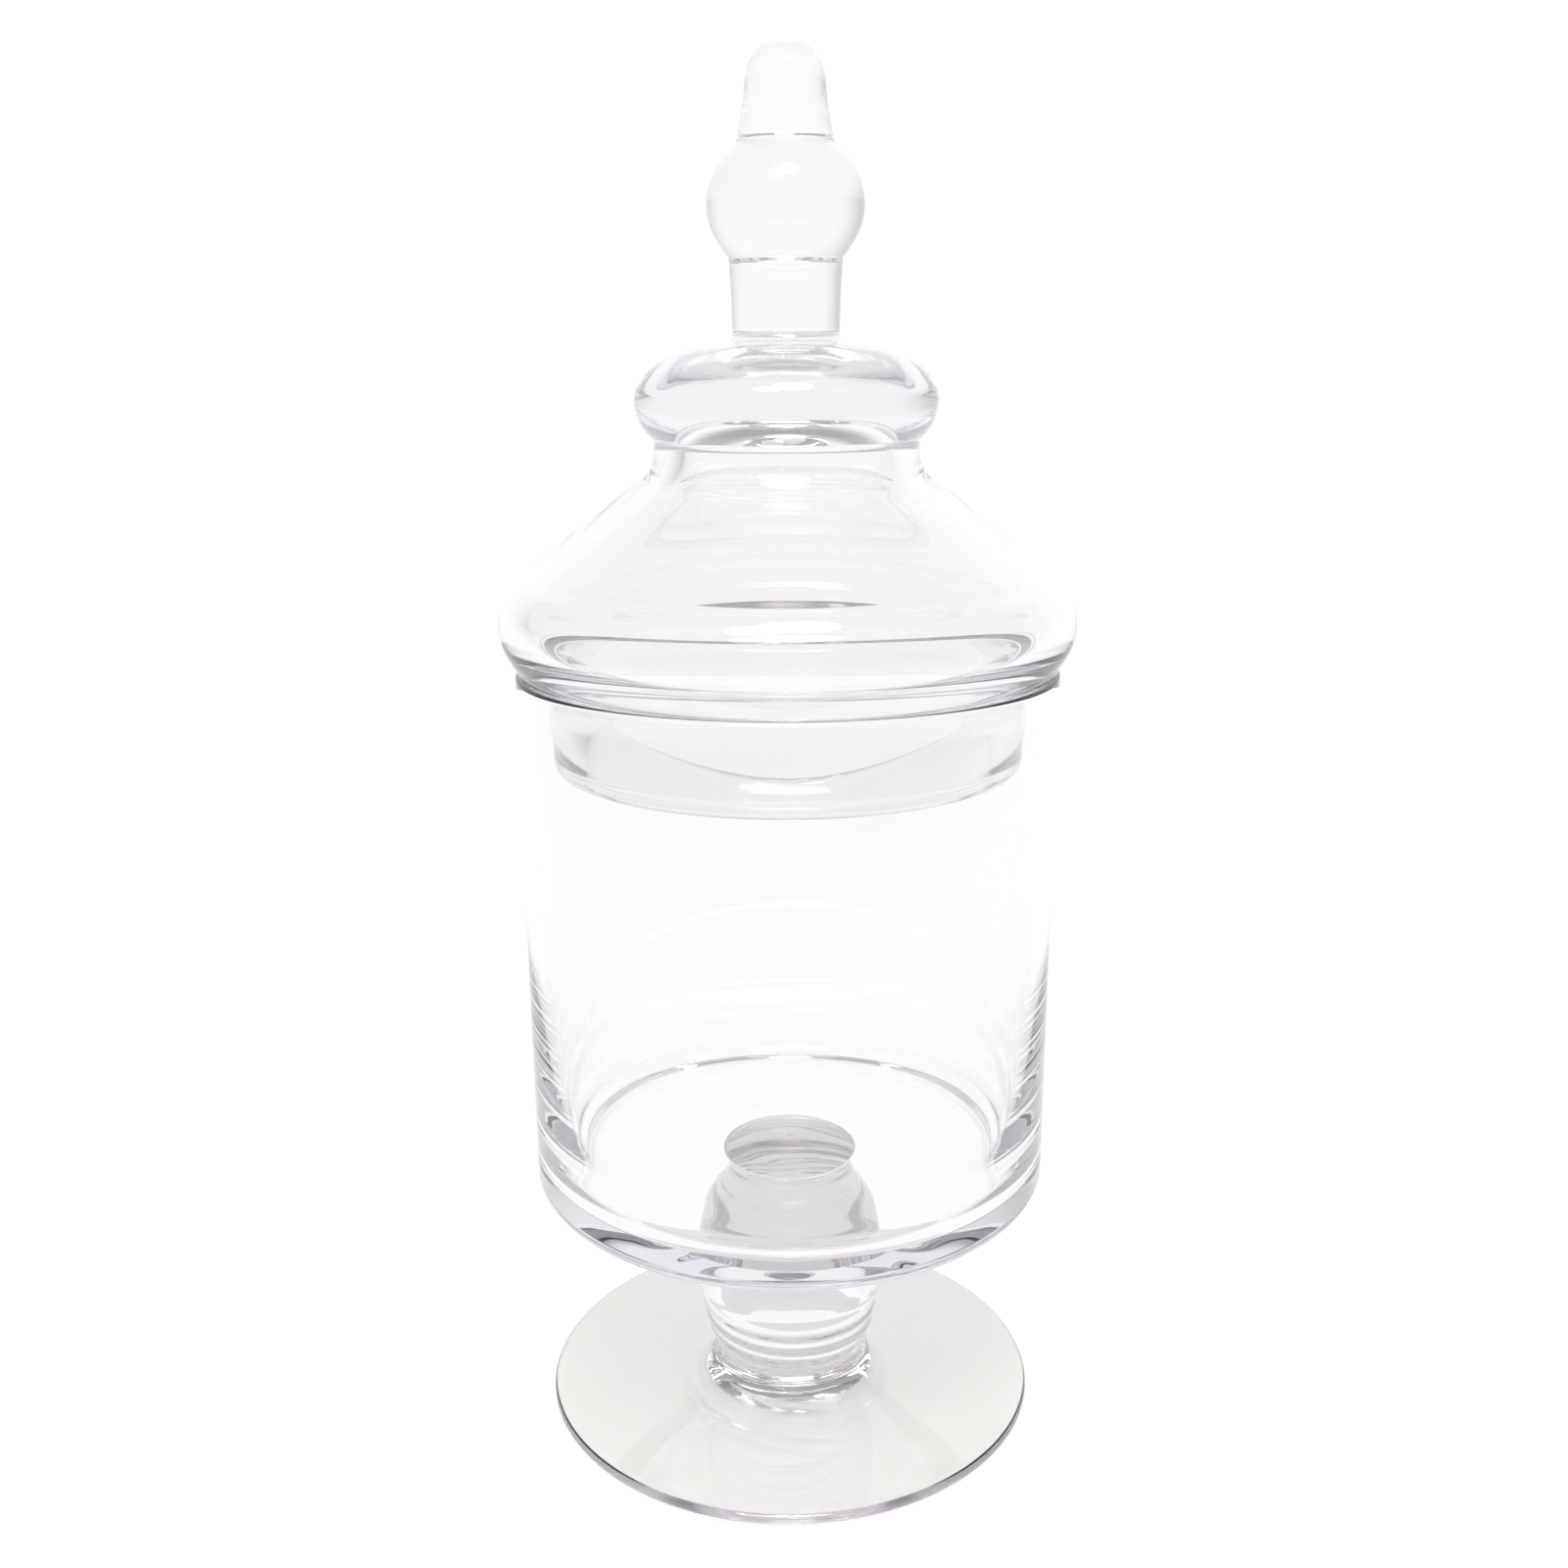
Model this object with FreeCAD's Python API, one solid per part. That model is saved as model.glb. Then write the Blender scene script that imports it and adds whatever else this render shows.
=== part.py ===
"""Footed apothecary jar in clear glass: two loose pieces, the jar and its lid, each joined hot from
separately worked pieces of glass.

The jar is a straight-sided bowl on a knop stem on a disc foot.  The lid is a thick blown dome with
a plug that drops into the bowl's mouth, a rounded cushion above its waist, and a finial of three
solid pieces: shank, ball and tip.

Everything is a solid of revolution about Z.  Millimetres, +Z up, origin in the middle of the foot's
underside.  An outline is drawn in the XZ plane as (radius, height) points joined by straight runs,
arcs and smooth curves, and is then turned about Z.
"""
import FreeCAD, Part
import math
import os

# ---------------------------------------------------------------- driving dimensions
FOOT_RADIUS = 51.6
FOOT_EDGE = 2.4            # thickness of the foot's rounded rim
FOOT_CROWN = 4.0           # height of the foot's top where it sweeps up to the stem
FOOT_HOLLOW = 0.8          # how far the underside is dished up in the middle
REST_RING_INNER = 42.0     # the foot stands on the flat ring outside this radius

STEM_BOTTOM = 8.8          # hot joint between foot and stem
STEM_FOOT_RADIUS = 16.0
KNOP_RADIUS = 20.0         # widest part of the stem
KNOP_HEIGHT = 28.5
STEM_NECK_RADIUS = 14.2    # where the stem meets the bowl

BOWL_RADIUS = 53.0
BOWL_UNDERSIDE = 50.4      # hot joint between stem and bowl
BOWL_CORNER = 4.0          # outer corner radius between wall and underside
BOWL_FLOOR = 54.7          # top of the bowl's solid bottom, in the middle
BOWL_WALL = 3.0            # wall thickness, constant above the thick bottom
INNER_WALL_START = 104.0   # height above which the wall inside is straight
BOWL_RIM = 158.6           # top of the bowl's rim
RIM_ROUND = 0.9            # rounding of the rim's two edges

SEAT_GAP = 0.2             # air between the bowl's rim and the lid's seat
SEAT_OUTER = 52.2
PLUG_TOP_RADIUS = 47.2     # plug outside, under the seat
PLUG_LOW_RADIUS = 46.2     # plug outside, just above its rounded lower edge
PLUG_BOTTOM = 139.6
PLUG_LIP = 5.6             # thickness of the plug's lower lip
THROAT_RADIUS = 38.4       # narrowest part of the opening through the plug
THROAT_HEIGHT = 151.0

DOME_WALL = 5.8
SHOULDER_RADIUS = 55.8     # widest part of the lid
SHOULDER_HEIGHT = 168.0
SHOULDER_ARC = 12.0        # radius of the shoulder's rounding
WAIST_RADIUS = 25.3
WAIST_HEIGHT = 200.0
WAIST_ARC = 7.0            # hollow curve between the waist and the dome's slope
CAVITY_TOP = 207.5         # ceiling of the hollow inside the lid
CAVITY_CORNER = 4.0

CUSHION_RADIUS = 28.7      # the rounded swelling above the waist
CUSHION_MIDDLE = 209.1     # height of its widest line
CUSHION_LOW_ARC = 9.3
CUSHION_TOP = 219.9        # hot joint between cushion and finial
CUSHION_TOP_CENTRE = 8.0   # the cushion's upper curve is a quarter ellipse about this radius

SHANK_FLARE = 10.8         # radius where the shank spreads onto the cushion
SHANK_LOW_RADIUS = 10.05
SHANK_TOP_RADIUS = 10.6
BALL_BOTTOM = 234.5
BALL_MIDDLE = 243.2
BALL_RADIUS = 14.55
BALL_TOP = 254.3
TIP_BASE_RADIUS = 9.05
TIP_NECK_RADIUS = 7.35     # where the tip's straight sides end and its round top begins
TIP_NECK_HEIGHT = 264.4
TIP_TOP = 271.3

FULL_TURN = 360


# ---------------------------------------------------------------- drawing an outline
def point(radius, height):
    """A point of an outline, in the XZ plane."""
    return FreeCAD.Vector(radius, 0, height)


def line(a, b):
    return Part.LineSegment(point(*a), point(*b)).toShape()


def run(*corners):
    """Straight runs from corner to corner."""
    return [line(a, b) for a, b in zip(corners, corners[1:])]


def arc(centre, radius, start, end):
    """Arc about centre from the start angle to the end angle, in degrees from +X towards +Z."""
    angles = [math.radians(start + (end - start) * k / 2) for k in range(3)]
    ends = [point(centre[0] + radius * math.cos(a), centre[1] + radius * math.sin(a)) for a in angles]
    return Part.Arc(*ends).toShape()


def quarter_ellipse(centre, across, up, lowest_angle):
    """Upper outer part of an ellipse, from its widest point round to lowest_angle degrees of sweep."""
    ellipse = Part.Ellipse(point(centre[0] + across, centre[1]), point(centre[0], centre[1] + up),
                           point(*centre))
    return Part.ArcOfEllipse(ellipse, 0, math.radians(lowest_angle)).toShape()


def curve(points, start=None, end=None):
    """Smooth curve through points, with the directions it leaves and arrives in, if given."""
    spline = Part.BSplineCurve()
    if start and end:
        spline.interpolate([point(*p) for p in points],
                           InitialTangent=point(*start), FinalTangent=point(*end))
    else:
        spline.interpolate([point(*p) for p in points])
    return spline.toShape()


def turned(edges):
    """The solid that an outline, closed by the axis if need be, sweeps when turned about Z."""
    wire = Part.Wire(Part.__sortEdges__(edges))
    solid = Part.Face(wire).revolve(FreeCAD.Vector(0, 0, 0), FreeCAD.Vector(0, 0, 1), FULL_TURN)
    return Part.Solid(solid.Shells[0]) if solid.ShapeType != "Solid" else solid


def on_circle(centre, radius, angle):
    """The point of a circle at an angle in degrees."""
    return (centre[0] + radius * math.cos(math.radians(angle)),
            centre[1] + radius * math.sin(math.radians(angle)))


# ---------------------------------------------------------------- the jar
def foot():
    """Thin disc that thickens to the middle and sweeps up into a short collar under the stem."""
    half_edge = FOOT_EDGE / 2
    rim_centre = (FOOT_RADIUS - half_edge, half_edge)
    top_sweep = [(rim_centre[0], FOOT_EDGE), (34.0, FOOT_EDGE + 0.55), (23.0, FOOT_CROWN),
                 (17.2, 6.4), (STEM_FOOT_RADIUS, STEM_BOTTOM)]
    under_hollow = [(REST_RING_INNER, 0), (24.0, 0.6 * FOOT_HOLLOW), (0, FOOT_HOLLOW)]
    return turned([
        line((0, FOOT_HOLLOW), (0, STEM_BOTTOM)),
        line((0, STEM_BOTTOM), (STEM_FOOT_RADIUS, STEM_BOTTOM)),
        curve(top_sweep, start=(-1, 0), end=(0, 1)),
        arc(rim_centre, half_edge, -90, 90),
        *run((rim_centre[0], 0), (REST_RING_INNER, 0)),
        curve(under_hollow, start=(-1, 0), end=(-1, 0)),
    ])


def stem():
    """Solid knop: narrow at the foot, swelling to its widest above the middle, narrow at the bowl."""
    side = [(STEM_FOOT_RADIUS, STEM_BOTTOM), (16.8, 11.4), (18.95, 20.2), (KNOP_RADIUS, KNOP_HEIGHT),
            (18.6, 35.6), (15.6, 41.4), (13.7, 46.0), (STEM_NECK_RADIUS, BOWL_UNDERSIDE)]
    return turned([
        line((0, STEM_BOTTOM), (STEM_FOOT_RADIUS, STEM_BOTTOM)),
        curve(side, start=(0, 1), end=(1.0, 1.6)),
        line((STEM_NECK_RADIUS, BOWL_UNDERSIDE), (0, BOWL_UNDERSIDE)),
        line((0, BOWL_UNDERSIDE), (0, STEM_BOTTOM)),
    ])


def bowl():
    """Straight-sided bowl: thin wall above, thickening to a solid bottom with a rounded inner corner."""
    corner = (BOWL_RADIUS - BOWL_CORNER, BOWL_UNDERSIDE + BOWL_CORNER)
    inner = BOWL_RADIUS - BOWL_WALL
    low_inside = [(0, BOWL_FLOOR), (24.0, BOWL_FLOOR), (40.0, BOWL_FLOOR), (44.4, BOWL_FLOOR + 0.6),
                  (46.6, 57.6), (47.6, 63.0), (48.3, 70.0), (49.4, 85.0), (inner, INNER_WALL_START)]
    round_height = BOWL_RIM - RIM_ROUND
    return turned([
        line((0, BOWL_FLOOR), (0, BOWL_UNDERSIDE)),
        line((0, BOWL_UNDERSIDE), (corner[0], BOWL_UNDERSIDE)),
        arc(corner, BOWL_CORNER, -90, 0),
        line((BOWL_RADIUS, corner[1]), (BOWL_RADIUS, round_height)),
        arc((BOWL_RADIUS - RIM_ROUND, round_height), RIM_ROUND, 0, 90),
        line((BOWL_RADIUS - RIM_ROUND, BOWL_RIM), (inner + RIM_ROUND, BOWL_RIM)),
        arc((inner + RIM_ROUND, round_height), RIM_ROUND, 90, 180),
        line((inner, round_height), (inner, INNER_WALL_START)),
        curve(low_inside, start=(1, 0), end=(0, 1)),
    ])


# ---------------------------------------------------------------- the lid
def dome_slope(offset):
    """Angle in degrees, about the shoulder's centre, at which the dome's slope leaves the shoulder.

    The slope is the line that touches the shoulder's arc on one side and the waist's on the other.
    The two radii change by the same offset, so the angle is that of the outer slope for any offset.
    """
    shoulder, waist = shoulder_centre(), waist_centre()
    across, up = waist[0] - shoulder[0], waist[1] - shoulder[1]
    reach = (SHOULDER_ARC - offset) + (WAIST_ARC + offset)
    return math.degrees(math.atan2(up, across) - math.acos(reach / math.hypot(across, up)))


def shoulder_centre():
    return (SHOULDER_RADIUS - SHOULDER_ARC, SHOULDER_HEIGHT)


def waist_centre():
    return (WAIST_RADIUS + WAIST_ARC, WAIST_HEIGHT)


def lid_dome():
    """Blown lid body in one piece: plug, seat, dome, waist and cushion around one hollow."""
    seat = BOWL_RIM + SEAT_GAP
    shoulder, waist = shoulder_centre(), waist_centre()
    slope = dome_slope(0)
    under_angle = -38.0        # how far the shoulder's rounding runs under the dome
    under = on_circle(shoulder, SHOULDER_ARC, under_angle)
    slope_low = on_circle(shoulder, SHOULDER_ARC, slope)
    slope_high = on_circle(waist, WAIST_ARC, slope + 180)
    cushion_low = (CUSHION_RADIUS - CUSHION_LOW_ARC, CUSHION_MIDDLE)
    low_angle = math.degrees(math.acos((WAIST_RADIUS - cushion_low[0]) / CUSHION_LOW_ARC))
    waist_top = (WAIST_RADIUS, CUSHION_MIDDLE - CUSHION_LOW_ARC * math.sin(math.radians(low_angle)))
    cushion_rise = 10.9
    top_sweep = math.degrees(math.asin((CUSHION_TOP - CUSHION_MIDDLE) / cushion_rise))
    top_edge = (CUSHION_TOP_CENTRE + (CUSHION_RADIUS - CUSHION_TOP_CENTRE)
                * math.cos(math.radians(top_sweep)), CUSHION_TOP)
    outside = [
        line((0, CUSHION_TOP), top_edge),
        quarter_ellipse((CUSHION_TOP_CENTRE, CUSHION_MIDDLE), CUSHION_RADIUS - CUSHION_TOP_CENTRE,
                        cushion_rise, top_sweep),
        arc(cushion_low, CUSHION_LOW_ARC, 0, -low_angle),
        line(waist_top, (WAIST_RADIUS, WAIST_HEIGHT)),
        arc(waist, WAIST_ARC, 180, slope + 180),
        line(slope_high, slope_low),
        arc(shoulder, SHOULDER_ARC, slope, under_angle),
        curve([under, (SEAT_OUTER + 0.6, seat + 0.7), (SEAT_OUTER, seat)]),
        line((SEAT_OUTER, seat), (PLUG_TOP_RADIUS, seat)),
    ]

    lip_middle = PLUG_LOW_RADIUS - PLUG_LIP / 2
    lip_height = PLUG_BOTTOM + PLUG_LIP / 2
    lip_inner = PLUG_LOW_RADIUS - PLUG_LIP
    plug = [
        line((PLUG_TOP_RADIUS, seat), (PLUG_LOW_RADIUS, lip_height)),
        arc((lip_middle, lip_height), PLUG_LIP / 2, 0, -180),
    ]

    inner_arc = SHOULDER_ARC - DOME_WALL
    inner_waist_arc = WAIST_ARC + DOME_WALL
    inner_neck = waist[0] - inner_waist_arc
    inner_low = on_circle(shoulder, inner_arc, slope)
    inner_high = on_circle(waist, inner_waist_arc, slope + 180)
    trough_angle = -62.0       # where the hollow's rounding turns in towards the throat
    trough = on_circle(shoulder, inner_arc, trough_angle)
    neck_corner = (inner_neck - CAVITY_CORNER, CAVITY_TOP - CAVITY_CORNER)
    inside = [
        curve([(lip_inner, lip_height), (THROAT_RADIUS + 0.7, THROAT_HEIGHT - 4.6),
               (THROAT_RADIUS, THROAT_HEIGHT), (THROAT_RADIUS + 1.7, THROAT_HEIGHT + 6.4), trough],
              start=(-0.45, 1), end=(math.cos(math.radians(trough_angle + 90)),
                                 math.sin(math.radians(trough_angle + 90)))),
        arc(shoulder, inner_arc, trough_angle, slope),
        line(inner_low, inner_high),
        arc(waist, inner_waist_arc, slope + 180, 180),
        line((inner_neck, WAIST_HEIGHT), (inner_neck, neck_corner[1])),
        arc(neck_corner, CAVITY_CORNER, 0, 90),
        line((neck_corner[0], CAVITY_TOP), (0, CAVITY_TOP)),
    ]
    return turned(outside + plug + inside + [line((0, CAVITY_TOP), (0, CUSHION_TOP))])


def finial_shank():
    """Solid peg, a little wider at the top, that spreads where it was pressed onto the cushion."""
    side = [(SHANK_FLARE, CUSHION_TOP), (10.2, CUSHION_TOP + 0.9), (SHANK_LOW_RADIUS, CUSHION_TOP + 2.6),
            (10.25, 228.9), (SHANK_TOP_RADIUS, BALL_BOTTOM)]
    return turned([
        line((0, CUSHION_TOP), (SHANK_FLARE, CUSHION_TOP)),
        curve(side),
        line((SHANK_TOP_RADIUS, BALL_BOTTOM), (0, BALL_BOTTOM)),
        line((0, BALL_BOTTOM), (0, CUSHION_TOP)),
    ])


def finial_ball():
    """Solid ball, flattened a little where the shank and the tip join it."""
    side = [(SHANK_TOP_RADIUS + 0.1, BALL_BOTTOM), (12.6, 237.3), (14.1, 240.4),
            (BALL_RADIUS, BALL_MIDDLE), (13.9, 247.5), (12.15, 250.9), (10.5, 252.8),
            (TIP_BASE_RADIUS + 0.1, BALL_TOP)]
    return turned([
        line((0, BALL_BOTTOM), (SHANK_TOP_RADIUS + 0.1, BALL_BOTTOM)),
        curve(side),
        line((TIP_BASE_RADIUS + 0.1, BALL_TOP), (0, BALL_TOP)),
        line((0, BALL_TOP), (0, BALL_BOTTOM)),
    ])


def finial_tip():
    """Solid thimble: tapering sides under a round top."""
    sides_and_top = [(TIP_BASE_RADIUS, BALL_TOP), (8.45, 256.9), (7.75, 261.0),
                     (TIP_NECK_RADIUS, TIP_NECK_HEIGHT), (6.65, 267.5), (4.6, 270.1), (0, TIP_TOP)]
    return turned([
        line((0, BALL_TOP), (TIP_BASE_RADIUS, BALL_TOP)),
        curve(sides_and_top, start=(-0.5, 1), end=(-1, 0)),
        line((0, TIP_TOP), (0, BALL_TOP)),
    ])


# ---------------------------------------------------------------- writing the pieces
PIECES = {
    "foot": foot,
    "stem": stem,
    "bowl": bowl,
    "lid_dome": lid_dome,
    "finial_shank": finial_shank,
    "finial_ball": finial_ball,
    "finial_tip": finial_tip,
}

os.makedirs("parts", exist_ok=True)
for name, make in PIECES.items():
    shape = make()
    box = shape.BoundBox
    print(f"{name}: valid {shape.isValid()}, {shape.ShapeType}, {shape.Volume / 1000:.1f} cm3, "
          f"radius {box.XMax:.2f}, z {box.ZMin:.2f} to {box.ZMax:.2f}")
    shape.exportStep(f"parts/{name}.step")
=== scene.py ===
# %% [markdown]
# # Footed apothecary jar in clear glass
#
# The jar is two loose things: a footed bowl and a lid.  A glass maker builds each of them hot from
# several gathers of glass: a foot, a knop stem and a bowl below, and a blown dome, a shank, a ball and
# a tip above.  This lesson makes each gather as its own surface, worked out from a profile turned
# about the jar's axis, and then gives them all one glass material, a light table and soft boxes.

# %% The frame
import math

import bpy
import numpy as np
from mathutils import Matrix, Vector


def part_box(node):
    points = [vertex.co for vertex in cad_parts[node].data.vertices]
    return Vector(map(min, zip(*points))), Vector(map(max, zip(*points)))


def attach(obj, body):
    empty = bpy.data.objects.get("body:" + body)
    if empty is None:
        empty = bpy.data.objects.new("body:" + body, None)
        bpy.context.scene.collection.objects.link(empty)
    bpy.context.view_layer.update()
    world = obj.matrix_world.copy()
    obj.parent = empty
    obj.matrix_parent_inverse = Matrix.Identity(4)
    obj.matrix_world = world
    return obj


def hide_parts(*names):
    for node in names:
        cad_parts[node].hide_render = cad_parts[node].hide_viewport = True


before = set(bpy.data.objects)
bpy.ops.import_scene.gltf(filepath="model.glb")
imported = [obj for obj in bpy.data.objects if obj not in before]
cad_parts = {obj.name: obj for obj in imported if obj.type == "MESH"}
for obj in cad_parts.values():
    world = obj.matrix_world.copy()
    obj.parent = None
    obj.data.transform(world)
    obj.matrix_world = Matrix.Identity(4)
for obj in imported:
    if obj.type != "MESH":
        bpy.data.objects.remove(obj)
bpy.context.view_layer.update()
MM = 0.001

# %% [markdown]
# ## Heights and radii
#
# Every height where two gathers meet comes from the frame, so the looks follow the design.  Radii in
# between are named here.  All values are in millimetres until they go into a mesh, because a glass
# maker thinks in millimetres and Blender's metres would need three zeros each.

# %% Where the gathers meet
def node_top(node):
    """Height of a node's highest point, in millimetres."""
    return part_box(node)[1][2] / MM


def node_bottom(node):
    """Height of a node's lowest point, in millimetres."""
    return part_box(node)[0][2] / MM


def node_radius(node):
    """Half of a node's width across X, in millimetres."""
    low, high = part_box(node)
    return (high[0] - low[0]) / 2 / MM


STEM_BOTTOM = node_bottom("stem")
BOWL_UNDERSIDE = node_bottom("bowl")
BOWL_RIM = node_top("bowl")
PLUG_BOTTOM = node_bottom("lid_dome")
CUSHION_TOP = node_top("lid_dome")
BALL_BOTTOM = node_bottom("finial_ball")
BALL_TOP = node_top("finial_ball")
TIP_TOP = node_top("finial_tip")
JOIN_GAP = 0.01            # air between two gathers' joining faces, too thin to see
print("joins at", [round(z, 2) for z in (STEM_BOTTOM, BOWL_UNDERSIDE, CUSHION_TOP, BALL_BOTTOM, BALL_TOP)])

# %% [markdown]
# ## Drawing a profile
#
# A profile is half of a section through the jar: points of radius and height, in order.  It could be
# drawn as a Blender curve and spun, but numpy gives exact control of how many points each bend gets,
# and glass shows every facet.  Three pens are enough: straight runs, arcs, and a smooth spline.

# %% Pens
def straight(a, b, count=2):
    """Points from a to b: a + (b - a) t for count even steps of t."""
    t = np.linspace(0, 1, count)[:, None]
    return np.array(a) + (np.array(b) - np.array(a)) * t


def arc(centre, radius, start, end, count=16):
    """Points centre + radius (cos angle, sin angle), the angle going from start to end in degrees.

    radius may be a pair (across, up), which gives an ellipse.
    """
    angle = np.radians(np.linspace(start, end, count))
    reach = np.array(radius) * np.ones(2)
    return np.array(centre) + reach * np.stack([np.cos(angle), np.sin(angle)], axis=1)


def spline(points, count=40, start=None, end=None):
    """Smooth cubic curve through points.

    The slopes at the points solve the usual cubic spline equations, with distance along the chords as
    the parameter.  start and end are the directions that it leaves and arrives in; without them it
    has no bend at its ends.
    """
    points = np.array(points, dtype=float)
    chord = np.linalg.norm(np.diff(points, axis=0), axis=1)
    knots = np.concatenate([[0], np.cumsum(chord)])
    n = len(points)
    system, right = np.zeros((n, n)), np.zeros((n, 2))
    for k in range(1, n - 1):
        before, after = chord[k - 1], chord[k]
        system[k, k - 1:k + 2] = after, 2 * (before + after), before
        right[k] = 3 * (after * (points[k] - points[k - 1]) / before
                        + before * (points[k + 1] - points[k]) / after)
    for row, beside, given, step in ((0, 1, start, chord[0]), (n - 1, n - 2, end, chord[-1])):
        system[row, row] = 1
        if given is None:
            system[row, row], system[row, beside] = 2, 1
            right[row] = 3 * (points[max(row, beside)] - points[min(row, beside)]) / step
        else:
            right[row] = np.array(given) / np.linalg.norm(given)
    slopes = np.linalg.solve(system, right)
    at = np.linspace(0, knots[-1], count)
    k = np.clip(np.searchsorted(knots, at, side="right") - 1, 0, n - 2)
    h = chord[k][:, None]
    t = ((at - knots[k]) / chord[k])[:, None]
    return ((2 * t**3 - 3 * t**2 + 1) * points[k] + (t**3 - 2 * t**2 + t) * h * slopes[k]
            + (3 * t**2 - 2 * t**3) * points[k + 1] + (t**3 - t**2) * h * slopes[k + 1])


def joined(*pieces):
    """One profile from several, dropping a point that repeats the one before it."""
    points = np.concatenate(pieces)
    step = np.linalg.norm(np.diff(points, axis=0), axis=1)
    return points[np.concatenate([[True], step > 1e-6])]


print("a quarter turn of radius 10 in 5 points:", arc((0, 0), 10, 0, 90, 5).round(2).tolist())

# %% [markdown]
# ## Turning a profile
#
# Each gather is the profile swept about the Z axis.  A hand-made jar is never quite round, so each
# ring is also pushed in and out by a few long waves.  The waves depend only on the angle and the
# height, so two gathers that meet stay flush.
#
# Where two gathers were joined hot there is no surface inside the glass.  The faces there still
# exist, because each piece has to be a closed body, but they carry an attribute called "join" that
# the material reads to let light straight through.

# %% Turning
ROUND = 256                # points round each ring


def unevenness(angle, height, depth):
    """Radial push in millimetres: depth times a sum of three slow waves of angle and height."""
    return depth * (0.5 * np.sin(2 * angle + 0.021 * height + 0.6)
                    + 0.3 * np.sin(3 * angle - 0.037 * height + 2.1)
                    + 0.2 * np.sin(5 * angle + 0.060 * height + 4.0))


def turned(name, body, node, profile, depth, join_heights=(), creases=(), shape=None):
    """Turns a profile that starts and ends on the axis into a closed smooth mesh.

    Ring k, point j sits at radius r_k (cos a_j, sin a_j) and height z_k.  join_heights are the level
    faces that are fused to a neighbour, as (height, radius) pairs: faces at that height inside that
    radius are marked.  creases are the profile points (radius, height) that keep a sharp edge.
    depth is how far the unevenness pushes.  shape, if given, moves the rings: it takes radius, angle,
    height grids and returns x, y, z grids.
    """
    rings = profile[1:-1]
    count = len(rings)
    angle = np.arange(ROUND) * 2 * np.pi / ROUND
    radius = rings[:, 0:1] * np.ones(ROUND)
    height = rings[:, 1:2] * np.ones(ROUND)
    around = angle[None, :] * np.ones((count, 1))
    radius = radius + unevenness(around, height, depth) * np.clip(radius / 20, 0, 1)
    if shape is None:
        x, y, z = radius * np.cos(around), radius * np.sin(around), height
    else:
        x, y, z = shape(radius, around, height)
    grid = np.stack([x, y, z], axis=2).reshape(-1, 3)
    poles = np.array([[0, 0, profile[0, 1]], [0, 0, profile[-1, 1]]])
    points = np.concatenate([grid, poles]) * MM
    first, last = count * ROUND, count * ROUND + 1

    j = np.arange(ROUND)
    beside = (j + 1) % ROUND
    k = np.arange(count - 1)[:, None] * ROUND
    quads = np.stack([k + j, k + beside, k + ROUND + beside, k + ROUND + j], axis=2).reshape(-1, 4)
    start_fan = np.stack([np.full(ROUND, first), beside, j], axis=1)
    end_fan = np.stack([np.full(ROUND, last), (count - 1) * ROUND + j, (count - 1) * ROUND + beside],
                       axis=1)
    mesh = bpy.data.meshes.new(name)
    mesh.from_pydata(points.tolist(), [], start_fan.tolist() + quads.tolist() + end_fan.tolist())
    mesh.validate()

    levels = np.concatenate([[profile[0]], rings, [profile[-1]]])
    ring_of_face = np.concatenate([np.zeros(ROUND, int), np.repeat(np.arange(1, count), ROUND),
                                   np.full(ROUND, count)])
    low, high = levels[ring_of_face], levels[ring_of_face + 1]
    fused = np.zeros(len(ring_of_face))
    for join_height, join_radius in join_heights:
        level = (abs(low[:, 1] - join_height) < 1e-3) & (abs(high[:, 1] - join_height) < 1e-3)
        fused[level & (np.maximum(low[:, 0], high[:, 0]) < join_radius + 1e-3)] = 1
    mesh.attributes.new("join", "FLOAT", "FACE").data.foreach_set("value", fused)

    sharp_ring = np.zeros(count + 1, bool)
    for crease in creases:
        sharp_ring[np.argmin(np.linalg.norm(rings - np.array(crease), axis=1))] = True
    ends = np.empty(len(mesh.edges) * 2, int)
    mesh.edges.foreach_get("vertices", ends)
    ring = np.minimum(ends // ROUND, count).reshape(-1, 2)
    sharp = (ring[:, 0] == ring[:, 1]) & sharp_ring[ring[:, 0]]
    mesh.attributes.new("sharp_edge", "BOOLEAN", "EDGE").data.foreach_set("value", sharp)
    mesh.polygons.foreach_set("use_smooth", np.ones(len(mesh.polygons), bool))
    mesh.update()

    piece = bpy.data.objects.new(name, mesh)
    bpy.context.scene.collection.objects.link(piece)
    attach(piece, body)
    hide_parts(node)
    print(f"{name}: {count} rings, {len(mesh.polygons)} faces, {int(fused.sum())} fused faces, "
          f"{int(sharp.sum())} sharp edges")
    return piece


print("each gather is turned in", ROUND, "points a ring")

# %% [markdown]
# ## Foot
#
# The foot is a thin disc, pressed flat while hot, that swells to a short collar under the stem.  Its
# rim is rounded by the flame and its underside is dished a little, so that it stands on a ring.

# %% Foot
FOOT_RADIUS = node_radius("foot")
FOOT_EDGE = 2.4
REST_RING_INNER = 42.0     # the foot touches the table from here to its rim
FOOT_JOIN = 15.85          # radius of the fused face between foot and stem
GROOVE = 0.15              # how deep the hollow line between two gathers is


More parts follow.
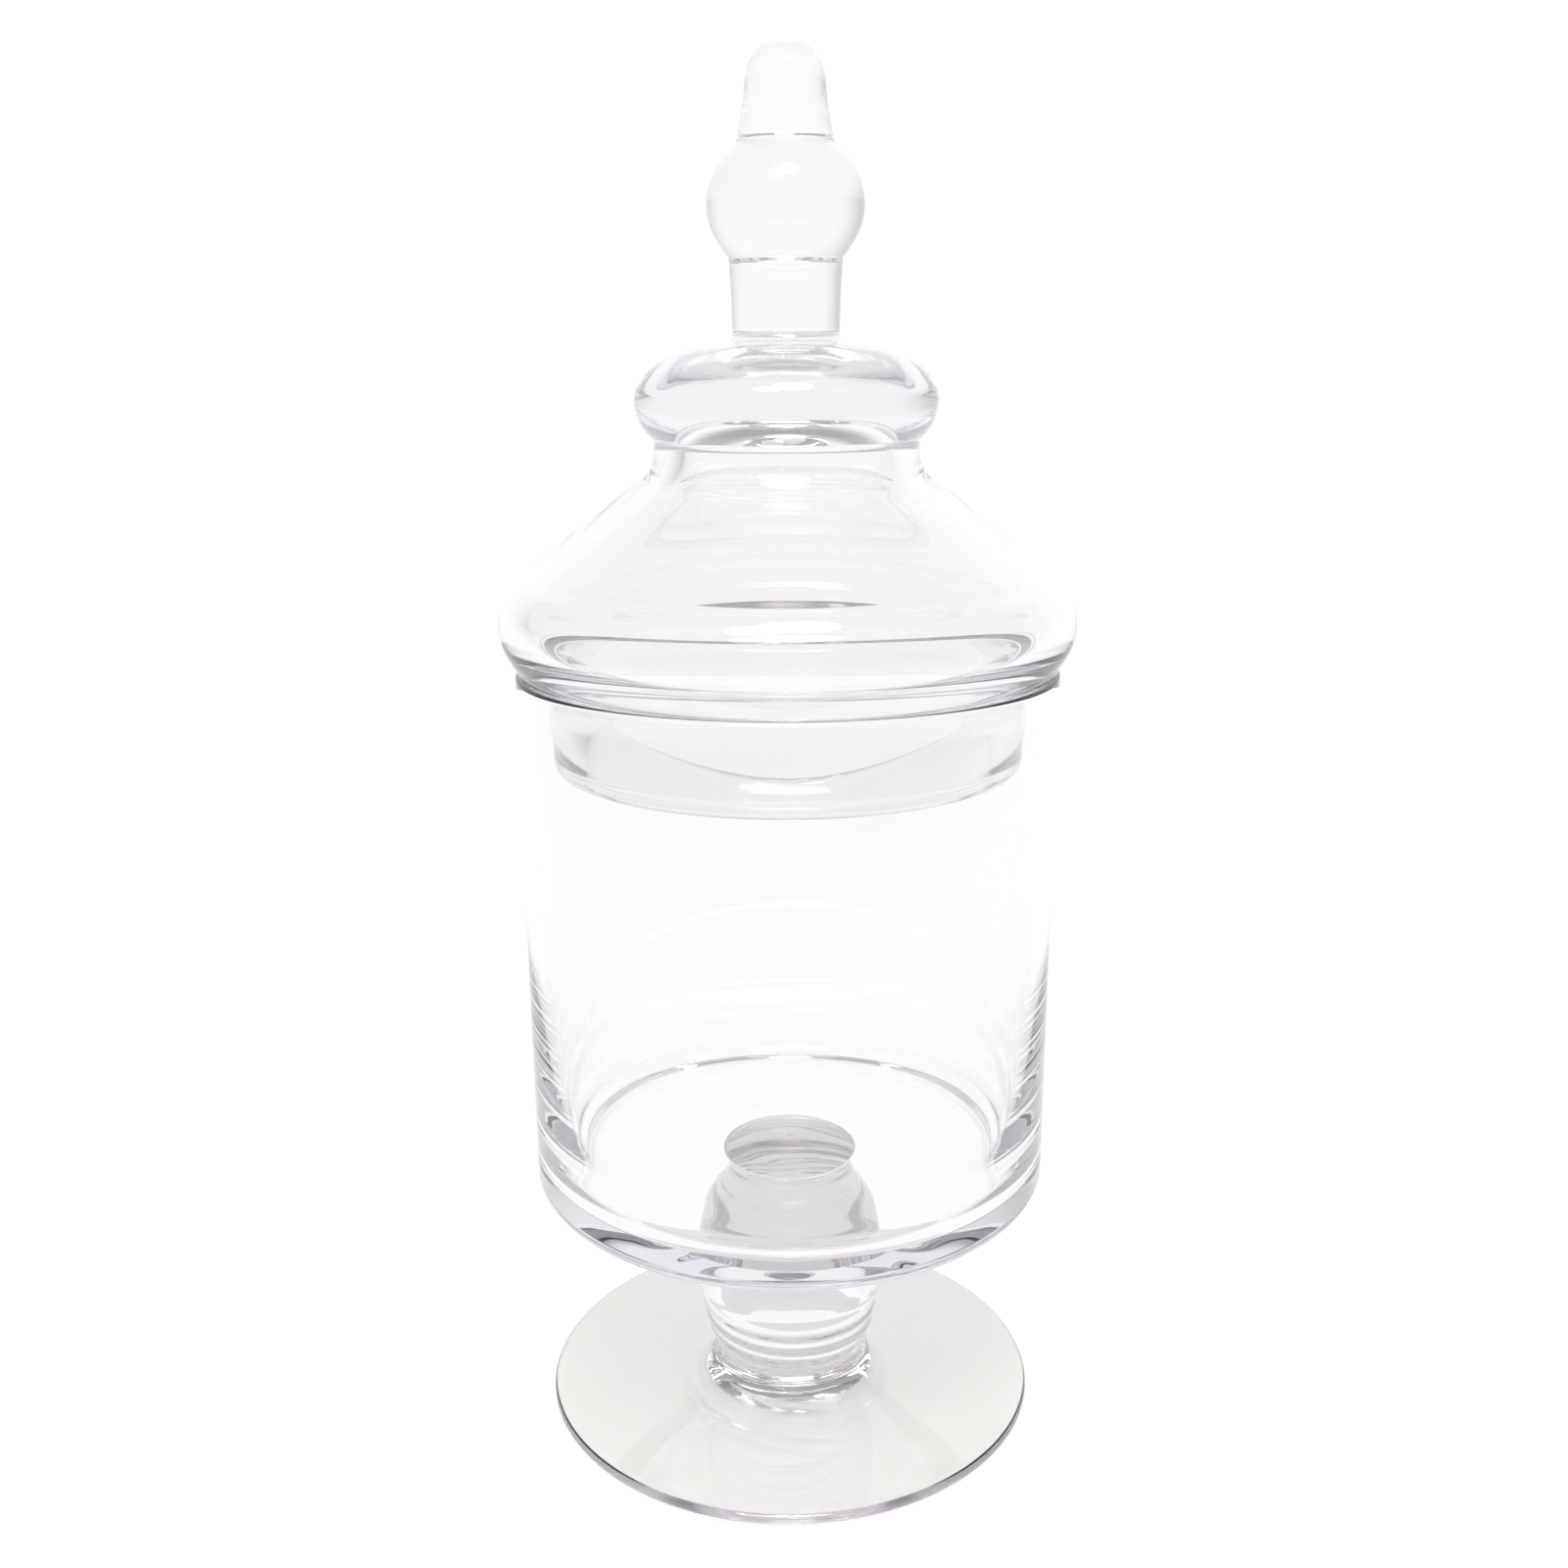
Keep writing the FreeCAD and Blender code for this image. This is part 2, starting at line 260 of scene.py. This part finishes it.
def foot_profile():
    """Underside from the axis to the rest ring, round the rim, then up the collar to the stem."""
    half = FOOT_EDGE / 2
    underside = spline([(0, 0.8), (24, 0.48), (REST_RING_INNER, 0)], 24, start=(1, 0), end=(1, 0))
    ring = straight((REST_RING_INNER, 0), (FOOT_RADIUS - half, 0), 4)
    rim = arc((FOOT_RADIUS - half, half), half, -90, 90, 20)
    top = spline([(FOOT_RADIUS - half, FOOT_EDGE), (34.0, 2.95), (23.0, 4.0), (17.2, 6.4),
                  (16.0, STEM_BOTTOM - GROOVE)], 110, start=(-1, 0), end=(0, 1))
    lip = straight((FOOT_JOIN, STEM_BOTTOM), (0, STEM_BOTTOM))
    return joined(underside, ring, rim, top, lip)


def swirl(radius, around, height):
    """Two soft ridges that spiral out from the collar's left side to its front, on the top face only.

    Each follows r_c = start + widening t while t, the share of the sweep done, goes from 0 to 1, and
    lifts the glass by 0.3 exp(-((r - r_c)/1.1)^2).
    """
    top = np.clip((height - 2.45) / 0.5, 0, 1) * (radius > FOOT_JOIN + 0.6)
    done = np.mod(around - math.radians(185), 2 * np.pi) / math.radians(95)
    along = np.clip(done / 0.15, 0, 1) * np.clip((1.12 - done) / 0.15, 0, 1)
    lift = 0
    for start, widening in ((17.2, 4.0), (21.5, 8.0)):
        lift = lift + 0.3 * np.exp(-((radius - start - widening * done) / 1.1)**2)
    return radius * np.cos(around), radius * np.sin(around), height + top * along * lift


foot = turned("foot_glass", "jar", "foot", foot_profile(), depth=0.12, shape=swirl,
              join_heights=[(STEM_BOTTOM, FOOT_JOIN)],
              creases=[(FOOT_JOIN, STEM_BOTTOM)])

# %% [markdown]
# ## Stem
#
# A solid knop.  It is the gather that carries the bowl, so it keeps the marks of being squeezed with
# the jacks: it swells above its middle and necks in just under the bowl.

# %% Stem
STEM_NECK = 14.2
STEM_JOIN = 14.05


def stem_profile():
    """Fused face on the foot, up the side of the knop, fused face under the bowl."""
    low, high = STEM_BOTTOM + JOIN_GAP, BOWL_UNDERSIDE - JOIN_GAP
    side = spline([(16.0, low + GROOVE), (16.8, 11.4), (18.95, 20.2), (20.0, 28.5), (18.6, 35.6),
                   (15.6, 41.4), (13.7, 46.0), (STEM_NECK, high - GROOVE)], 130,
                  start=(0.2, 1), end=(1, 1.6))
    return joined(straight((0, low), (FOOT_JOIN, low)), side, straight((STEM_JOIN, high), (0, high)))


def jack_marks(radius, around, height):
    """Rings left by the jacks low on the knop: r + 0.22 cos(2 pi z / 3.6 + a) inside a soft window of z.

    A second, slower wave twists round the whole knop and gives it a slight swirl.
    """
    window = np.exp(-((height - 16.5) / 5.0)**2) * (radius > STEM_JOIN)
    twist = np.clip((height - 11) / 4, 0, 1) * np.clip((47 - height) / 6, 0, 1) * (radius > STEM_JOIN)
    radius = (radius + 0.22 * window * np.cos(2 * np.pi * height / 3.6 + around)
              + 0.16 * twist * np.sin(2 * around + 0.24 * height))
    return radius * np.cos(around), radius * np.sin(around), height


stem = turned("stem_glass", "jar", "stem", stem_profile(), depth=0.12, shape=jack_marks,
              join_heights=[(STEM_BOTTOM + JOIN_GAP, FOOT_JOIN), (BOWL_UNDERSIDE - JOIN_GAP, STEM_JOIN)],
              creases=[(FOOT_JOIN, STEM_BOTTOM), (STEM_JOIN, BOWL_UNDERSIDE)])

# %% [markdown]
# ## Bowl
#
# Blown into a straight mould, so the outside is true, while the inside follows where the glass
# flowed: a thin wall above and a thick rounded corner round a solid bottom.  That corner is what
# gives the dark streaks low on each side.

# %% Bowl
BOWL_RADIUS = 53.0
BOWL_CORNER = 4.0
BOWL_FLOOR = 54.7
BOWL_INSIDE = 50.0
INNER_WALL_START = 104.0
RIM_ROUND = 0.9


def bowl_profile():
    """Underside, outer corner, wall, rim, and back down the inside to the floor's middle."""
    corner = (BOWL_RADIUS - BOWL_CORNER, BOWL_UNDERSIDE + BOWL_CORNER)
    shoulder = BOWL_RIM - RIM_ROUND
    return joined(
        straight((0, BOWL_UNDERSIDE), (STEM_JOIN, BOWL_UNDERSIDE)),
        straight((STEM_JOIN, BOWL_UNDERSIDE), (corner[0], BOWL_UNDERSIDE), 12),
        arc(corner, BOWL_CORNER, -90, 0, 28),
        straight((BOWL_RADIUS, corner[1]), (BOWL_RADIUS, shoulder), 60),
        arc((BOWL_RADIUS - RIM_ROUND, shoulder), RIM_ROUND, 0, 90, 12),
        arc((BOWL_INSIDE + RIM_ROUND, shoulder), RIM_ROUND, 90, 180, 12),
        straight((BOWL_INSIDE, shoulder), (BOWL_INSIDE, INNER_WALL_START), 30),
        spline([(BOWL_INSIDE, INNER_WALL_START), (49.4, 85.0), (48.3, 70.0), (47.6, 63.0), (46.6, 57.6),
                (44.4, BOWL_FLOOR + 0.6), (40.0, BOWL_FLOOR), (24.0, BOWL_FLOOR), (0, BOWL_FLOOR)],
               200, start=(0, -1), end=(-1, 0)))


def puddled_floor(radius, around, height):
    """Lets the inside floor rise and sink near its middle, where the stem was stuck on.

    Height gains 0.75 exp(-(r/8)^2) - 0.35 exp(-((r - 15)/3.5)^2) (1 + 0.6 sin 3a), only on the floor.
    """
    inside = np.clip((height - BOWL_UNDERSIDE - 3.5) / 1.0, 0, 1) * (radius < 40)
    swell = (0.75 * np.exp(-(radius / 8.0)**2)
             - 0.35 * np.exp(-((radius - 15) / 3.5)**2) * (1 + 0.6 * np.sin(3 * around + 0.8)))
    return radius * np.cos(around), radius * np.sin(around), height + inside * swell


bowl = turned("bowl_glass", "jar", "bowl", bowl_profile(), depth=0.10, shape=puddled_floor,
              join_heights=[(BOWL_UNDERSIDE, STEM_JOIN)])

# %% [markdown]
# ## Lid
#
# The dome is blown with its plug in one go: thick glass all round one hollow.  The plug hangs in the
# bowl's mouth, the seat lies a hair above the rim, and the cushion above the waist is solid.

# %% Lid dome
SEAT = BOWL_RIM + 0.2
SEAT_OUTER = 52.2
PLUG_TOP, PLUG_LOW, PLUG_LIP = 47.2, 46.2, 5.6
THROAT_RADIUS, THROAT_HEIGHT = 38.4, 151.0
DOME_WALL = 5.8
SHOULDER = (43.8, 168.0)
SHOULDER_ARC = 12.0
WAIST_RADIUS, WAIST_HEIGHT, WAIST_ARC = 25.3, 200.0, 7.0
CAVITY_TOP, CAVITY_CORNER = 207.5, 4.0
CUSHION_RADIUS, CUSHION_MIDDLE, CUSHION_LOW_ARC = 28.7, 209.1, 9.3
CUSHION_TOP_CENTRE, CUSHION_RISE = 8.0, 10.9
DOME_JOIN = 10.8           # radius of the fused face under the shank


def slope_angle():
    """Angle about the shoulder's centre where the line touching both the shoulder and waist arcs leaves."""
    across, up = WAIST_RADIUS + WAIST_ARC - SHOULDER[0], WAIST_HEIGHT - SHOULDER[1]
    return math.degrees(math.atan2(up, across)
                        - math.acos((SHOULDER_ARC + WAIST_ARC) / math.hypot(across, up)))


def dome_profile():
    """Cushion, waist and dome outside, seat, round the plug, and up the hollow to its ceiling."""
    slope = slope_angle()
    waist = (WAIST_RADIUS + WAIST_ARC, WAIST_HEIGHT)
    low_centre = (CUSHION_RADIUS - CUSHION_LOW_ARC, CUSHION_MIDDLE)
    low_angle = math.degrees(math.acos((WAIST_RADIUS - low_centre[0]) / CUSHION_LOW_ARC))
    sweep = math.degrees(math.asin((CUSHION_TOP - CUSHION_MIDDLE) / CUSHION_RISE))
    outside = joined(
        straight((0, CUSHION_TOP), (DOME_JOIN - 0.05, CUSHION_TOP)),
        arc((CUSHION_TOP_CENTRE, CUSHION_MIDDLE), (CUSHION_RADIUS - CUSHION_TOP_CENTRE, CUSHION_RISE),
            sweep, 0, 48),
        arc(low_centre, CUSHION_LOW_ARC, 0, -low_angle, 30),
        arc(waist, WAIST_ARC, 180, slope + 180, 24),
        arc(SHOULDER, SHOULDER_ARC, slope, -38, 40))
    under = outside[-1]
    lip_height = PLUG_BOTTOM + PLUG_LIP / 2
    plug = joined(
        spline([under, (SEAT_OUTER + 0.6, SEAT + 0.7), (SEAT_OUTER, SEAT)], 10),
        straight((SEAT_OUTER, SEAT), (PLUG_TOP + 0.8, SEAT), 4),
        arc((PLUG_TOP + 0.8, SEAT - 0.8), 0.8, 90, 180, 8),
        straight((PLUG_TOP, SEAT - 0.8), (PLUG_LOW, lip_height), 8),
        arc((PLUG_LOW - PLUG_LIP / 2, lip_height), PLUG_LIP / 2, 0, -180, 24))
    inner = SHOULDER_ARC - DOME_WALL
    trough = -62
    trough_end = arc(SHOULDER, inner, trough, trough, 1)[0]
    along = (math.cos(math.radians(trough + 90)), math.sin(math.radians(trough + 90)))
    neck = waist[0] - WAIST_ARC - DOME_WALL
    inside = joined(
        spline([plug[-1], (THROAT_RADIUS + 0.7, THROAT_HEIGHT - 4.6), (THROAT_RADIUS, THROAT_HEIGHT),
                (THROAT_RADIUS + 1.7, THROAT_HEIGHT + 6.4), trough_end], 60, start=(-0.45, 1), end=along),
        arc(SHOULDER, inner, trough, slope, 40),
        arc(waist, WAIST_ARC + DOME_WALL, slope + 180, 180, 30),
        arc((neck - CAVITY_CORNER, CAVITY_TOP - CAVITY_CORNER), CAVITY_CORNER, 0, 90, 16),
        straight((neck - CAVITY_CORNER, CAVITY_TOP), (0, CAVITY_TOP), 6))
    return joined(outside, plug, inside)[::-1]      # reversed, so that the faces look outwards


dome = turned("lid_dome_glass", "lid", "lid_dome", dome_profile(), depth=0.10,
              join_heights=[(CUSHION_TOP, DOME_JOIN)])

# %% [markdown]
# ## Finial
#
# Three solid gathers stacked on the cushion: a peg-like shank, a ball, and a thimble-shaped tip.
# Each is pinched slightly where it meets the next, which leaves a fine dark line.

# %% Finial
BALL_JOIN, TIP_JOIN = 10.5, 8.95    # radii of the fused faces under the ball and under the tip


def shank_profile():
    """Fused face on the cushion, flare, straight side widening upwards, fused face under the ball."""
    low, high = CUSHION_TOP + JOIN_GAP, BALL_BOTTOM - JOIN_GAP
    side = spline([(DOME_JOIN, low), (10.2, low + 0.9), (10.05, low + 2.6), (10.25, 228.9),
                   (10.6, high - GROOVE)], 60)
    return joined(straight((0, low), (DOME_JOIN, low)), side, straight((BALL_JOIN, high), (0, high)))


def ball_profile():
    """Fused face on the shank, round the ball, fused face under the tip."""
    low, high = BALL_BOTTOM, BALL_TOP
    side = spline([(10.7, low + GROOVE), (12.6, 237.3), (14.1, 240.4), (14.55, 243.2), (13.9, 247.5),
                   (12.15, 250.9), (10.5, 252.8), (9.15, high - GROOVE)], 90)
    return joined(straight((0, low), (BALL_JOIN, low)), side, straight((TIP_JOIN, high), (0, high)))


def tip_profile():
    """Fused face on the ball, tapering side, round top."""
    low = BALL_TOP + JOIN_GAP
    side = spline([(9.05, low + GROOVE), (8.45, 256.9), (7.75, 261.0), (7.35, 264.4), (6.65, 267.5),
                   (4.6, 270.1), (0, TIP_TOP)], 80, start=(-0.5, 1), end=(-1, 0))
    return joined(straight((0, low), (TIP_JOIN, low)), side)


shank = turned("finial_shank_glass", "lid", "finial_shank", shank_profile(), depth=0.05,
               join_heights=[(CUSHION_TOP + JOIN_GAP, DOME_JOIN), (BALL_BOTTOM - JOIN_GAP, BALL_JOIN)],
               creases=[(DOME_JOIN, CUSHION_TOP), (BALL_JOIN, BALL_BOTTOM)])
ball = turned("finial_ball_glass", "lid", "finial_ball", ball_profile(), depth=0.05,
              join_heights=[(BALL_BOTTOM, BALL_JOIN), (BALL_TOP, TIP_JOIN)],
              creases=[(BALL_JOIN, BALL_BOTTOM), (TIP_JOIN, BALL_TOP)])
tip = turned("finial_tip_glass", "lid", "finial_tip", tip_profile(), depth=0.05,
             join_heights=[(BALL_TOP + JOIN_GAP, TIP_JOIN)],
             creases=[(TIP_JOIN, BALL_TOP)])

# %% [markdown]
# ## Glass
#
# Clear soda-lime glass bends light with an index near 1.5 and soaks up a little of it on the way
# through, so thin walls are nearly invisible and thick edges go grey with a faint violet cast.  That
# loss is in the volume, because it grows with the path's length.  A second, smaller loss called the
# veil is in the surface colour.  The foot's veil is much stronger.  That is painted shade, standing in
# for the shadow on the table under the foot, so that the disc reads as pale grey against the bright table.
#
# On the fused faces the index drops to 1, which bends and mirrors nothing.

# %% Glass material
GLASS_INDEX = 1.5
GLASS_TINT = (0.775, 0.755, 0.82, 1)
GLASS_DENSITY = 9.0       # per metre


def clear_glass(name, veil):
    """Principled glass with absorption, whose index is 1 where the face attribute "join" is 1.

    veil is what two crossings of the surface let through, over and above the mirror losses.
    """
    material = bpy.data.materials.new(name)
    material.use_nodes = True
    nodes, links = material.node_tree.nodes, material.node_tree.links
    nodes.clear()
    surface = nodes.new("ShaderNodeBsdfPrincipled")
    surface.inputs["Base Color"].default_value = (*veil, 1)
    surface.inputs["Transmission Weight"].default_value = 1
    surface.inputs["Roughness"].default_value = 0
    join = nodes.new("ShaderNodeAttribute")
    join.attribute_name = "join"
    index = nodes.new("ShaderNodeMapRange")
    index.inputs["To Min"].default_value = GLASS_INDEX
    index.inputs["To Max"].default_value = 1.0
    links.new(join.outputs["Fac"], index.inputs["Value"])
    links.new(index.outputs["Result"], surface.inputs["IOR"])
    loss = nodes.new("ShaderNodeVolumeAbsorption")
    loss.inputs["Color"].default_value = GLASS_TINT
    loss.inputs["Density"].default_value = GLASS_DENSITY
    output = nodes.new("ShaderNodeOutputMaterial")
    links.new(surface.outputs["BSDF"], output.inputs["Surface"])
    links.new(loss.outputs["Volume"], output.inputs["Volume"])
    return material


glass = clear_glass("clear_glass", veil=(0.981, 0.979, 0.976))
# The foot's much darker veil is painted shade: it stands in for the shadow on the table under the foot.
foot_glass_painted_shade = clear_glass("foot_glass_with_painted_shade", veil=(0.815, 0.81, 0.80))
for piece in (stem, bowl, dome, shank, ball, tip):
    piece.data.materials.append(glass)
foot.data.materials.append(foot_glass_painted_shade)
print("glass pieces:", [piece.name for piece in (foot, stem, bowl, dome, shank, ball, tip)])

# %% [markdown]
# ## Light table
#
# Clear glass has no colour of its own: it shows what is behind it.  Here it stands on a glowing table
# in a room that is white behind the jar and grey in front of it.  The edges of the glass bend the
# grey part into view, which is what draws them.  The table glows by itself, so the glass casts next
# to no shadow, and seen from behind the jar has a grey background.

# %% Floor and room
FLOOR_WHITE = 0.35         # the table's own paleness, before its glow
FLOOR_SHARE = 0.20         # what the room's light on the table adds to its own glow
BRIGHT_FROM = 0.5          # metres in front of the jar, where the bright part of the table opens out
BRIGHT_SOFTENING = 0.14    # metres, rounds off the glow near that point
DIM_TO_BRIGHT = (0.25, 0.84)    # cosines of the heading where the white starts and is full
ROOM_WHITE, FRONT_GREY = 1.055, 0.57
DIM_SIDE = 8               # degrees to the left of the front
CEILING_SHARE = 0.75
WARM_WHITE = (1, 0.997, 0.986, 1)


def ramp_node(nodes, low, high, start, end):
    """Smooth ramp from start (at the value low) to end (at the value high), level beyond them."""
    ramp = nodes.new("ShaderNodeMapRange")
    ramp.interpolation_type = "SMOOTHSTEP"
    for socket, value in (("From Min", low), ("From Max", high), ("To Min", start), ("To Max", end)):
        ramp.inputs[socket].default_value = value
    return ramp


def away_from_dim_side(nodes):
    """Dot product with the level direction that points away from the dim side of the studio."""
    along = nodes.new("ShaderNodeVectorMath")
    along.operation = "DOT_PRODUCT"
    turn = math.radians(DIM_SIDE)
    along.inputs[1].default_value = (math.sin(turn), math.cos(turn), 0)
    return along


def light_table():
    """A level square, 8 m across, a hair under the foot.

    Its glow follows the heading from a point in front of the jar, the way the room's does, so table
    and room have the same brightness where they meet at the horizon.
    """
    half, drop = 4.0, 0.0002
    mesh = bpy.data.meshes.new("light_table")
    mesh.from_pydata([(-half, -half, -drop), (half, -half, -drop), (half, half, -drop),
                      (-half, half, -drop)], [], [(0, 1, 2, 3)])
    table = bpy.data.objects.new("light_table", mesh)
    bpy.context.scene.collection.objects.link(table)
    material = bpy.data.materials.new("glowing_white")
    material.use_nodes = True
    nodes, links = material.node_tree.nodes, material.node_tree.links
    surface = nodes["Principled BSDF"]
    surface.inputs["Base Color"].default_value = (FLOOR_WHITE, FLOOR_WHITE, FLOOR_WHITE, 1)
    surface.inputs["Roughness"].default_value = 0.9
    surface.inputs["Specular IOR Level"].default_value = 0
    surface.inputs["Emission Color"].default_value = WARM_WHITE
    place = nodes.new("ShaderNodeTexCoord")
    offset = nodes.new("ShaderNodeVectorMath")
    offset.operation = "SUBTRACT"
    offset.inputs[1].default_value = (0, -BRIGHT_FROM, -BRIGHT_SOFTENING)
    heading = nodes.new("ShaderNodeVectorMath")
    heading.operation = "NORMALIZE"
    along = away_from_dim_side(nodes)
    glow = ramp_node(nodes, *DIM_TO_BRIGHT, FRONT_GREY - FLOOR_SHARE, ROOM_WHITE - FLOOR_SHARE)
    links.new(place.outputs["Object"], offset.inputs[0])
    links.new(offset.outputs["Vector"], heading.inputs[0])
    links.new(heading.outputs["Vector"], along.inputs[0])
    links.new(along.outputs["Value"], glow.inputs["Value"])
    links.new(glow.outputs["Result"], surface.inputs["Emission Strength"])
    mesh.materials.append(material)


def studio_room():
    """World that is white behind the jar, grey in front of it and a little dimmer overhead."""
    world = bpy.data.worlds.new("studio_room")
    bpy.context.scene.world = world
    world.use_nodes = True
    nodes, links = world.node_tree.nodes, world.node_tree.links
    nodes.clear()
    direction = nodes.new("ShaderNodeTexCoord")
    parts = nodes.new("ShaderNodeSeparateXYZ")
    along = away_from_dim_side(nodes)
    depth = ramp_node(nodes, *DIM_TO_BRIGHT, FRONT_GREY, ROOM_WHITE)
    overhead = ramp_node(nodes, 0.5, 0.95, 1.0, CEILING_SHARE)
    strength = nodes.new("ShaderNodeMath")
    strength.operation = "MULTIPLY"
    background = nodes.new("ShaderNodeBackground")
    background.inputs["Color"].default_value = WARM_WHITE
    output = nodes.new("ShaderNodeOutputWorld")
    links.new(direction.outputs["Generated"], parts.inputs["Vector"])
    links.new(direction.outputs["Generated"], along.inputs[0])
    links.new(along.outputs["Value"], depth.inputs["Value"])
    links.new(parts.outputs["Z"], overhead.inputs["Value"])
    links.new(depth.outputs["Result"], strength.inputs[0])
    links.new(overhead.outputs["Result"], strength.inputs[1])
    links.new(strength.outputs["Value"], background.inputs["Strength"])
    links.new(background.outputs["Background"], output.inputs["Surface"])


light_table()
studio_room()
bpy.context.scene.view_settings.view_transform = "Standard"
print("room white", ROOM_WHITE, "front grey", FRONT_GREY)

# %% [markdown]
# ## Soft boxes
#
# Two boxes, side by side above the front, give the glass its highlights, and that is all they have
# to do.  They are kept from lighting the table, because a lamp seen through glass by a dull surface
# gives grainy patches that take very long to clear.

# %% Soft boxes
AIM_HEIGHT = 0.17          # metres, a little above the jar's middle
BOX_DISTANCE = 1.0         # metres
BOX_RADIANCE = 16.0


def soft_box(name, azimuth, elevation, width, height):
    """Elliptical area lamp aimed at the jar; its power is pi x area x the wanted radiance."""
    aim = Vector((0, 0, AIM_HEIGHT))
    a, e = math.radians(azimuth), math.radians(elevation)
    away = Vector((math.sin(a) * math.cos(e), -math.cos(a) * math.cos(e), math.sin(e)))
    lamp = bpy.data.lights.new(name, "AREA")
    lamp.shape = "ELLIPSE"
    lamp.size, lamp.size_y = width, height
    area = width * height * (math.pi / 4)
    lamp.energy = math.pi * area * BOX_RADIANCE
    box = bpy.data.objects.new(name, lamp)
    box.location = aim + away * BOX_DISTANCE
    box.rotation_euler = away.to_track_quat("Z", "Y").to_euler()
    box.visible_camera = False
    box.visible_diffuse = False
    bpy.context.scene.collection.objects.link(box)
    print(name, "at", tuple(round(v, 3) for v in box.location))


soft_box("key_left", -17, 50, 0.32, 0.26)
soft_box("key_right", 6, 57, 0.44, 0.36)

# %% [markdown]
# ## Camera
#
# A close camera a little above the rim, looking down about sixteen degrees, with a small upward
# shift that keeps the jar's sides as upright as the lens allows.

# %% Camera
CAMERA_DISTANCE = 0.3230   # from the jar's axis
CAMERA_HEIGHT = 0.2192
CAMERA_ASIDE = -0.0008
LOOK_DOWN = 15.65          # degrees
ROLL = -0.26               # degrees
FOCAL_WIDTHS = 1.0626      # focal length over the picture's width
SENSOR = 36.0
SHIFT_UP = 0.0172          # of the picture's width
NEAREST_SEEN = 0.01        # metres

camera_data = bpy.data.cameras.new("camera")
camera_data.sensor_width = SENSOR
camera_data.lens = SENSOR * FOCAL_WIDTHS
camera_data.shift_y = SHIFT_UP
camera_data.clip_start = NEAREST_SEEN
camera = bpy.data.objects.new("camera", camera_data)
camera.matrix_world = (Matrix.Translation((CAMERA_ASIDE, -CAMERA_DISTANCE, CAMERA_HEIGHT))
                       @ Matrix.Rotation(math.radians(90 - LOOK_DOWN), 4, "X")
                       @ Matrix.Rotation(math.radians(ROLL), 4, "Z"))
bpy.context.scene.collection.objects.link(camera)
bpy.context.scene.camera = camera

cycles = bpy.context.scene.cycles
cycles.max_bounces = 72
cycles.transmission_bounces = 72
cycles.glossy_bounces = 24
cycles.transparent_max_bounces = 16
cycles.sample_clamp_indirect = 6.0
print("camera at", tuple(round(v, 4) for v in camera.location))
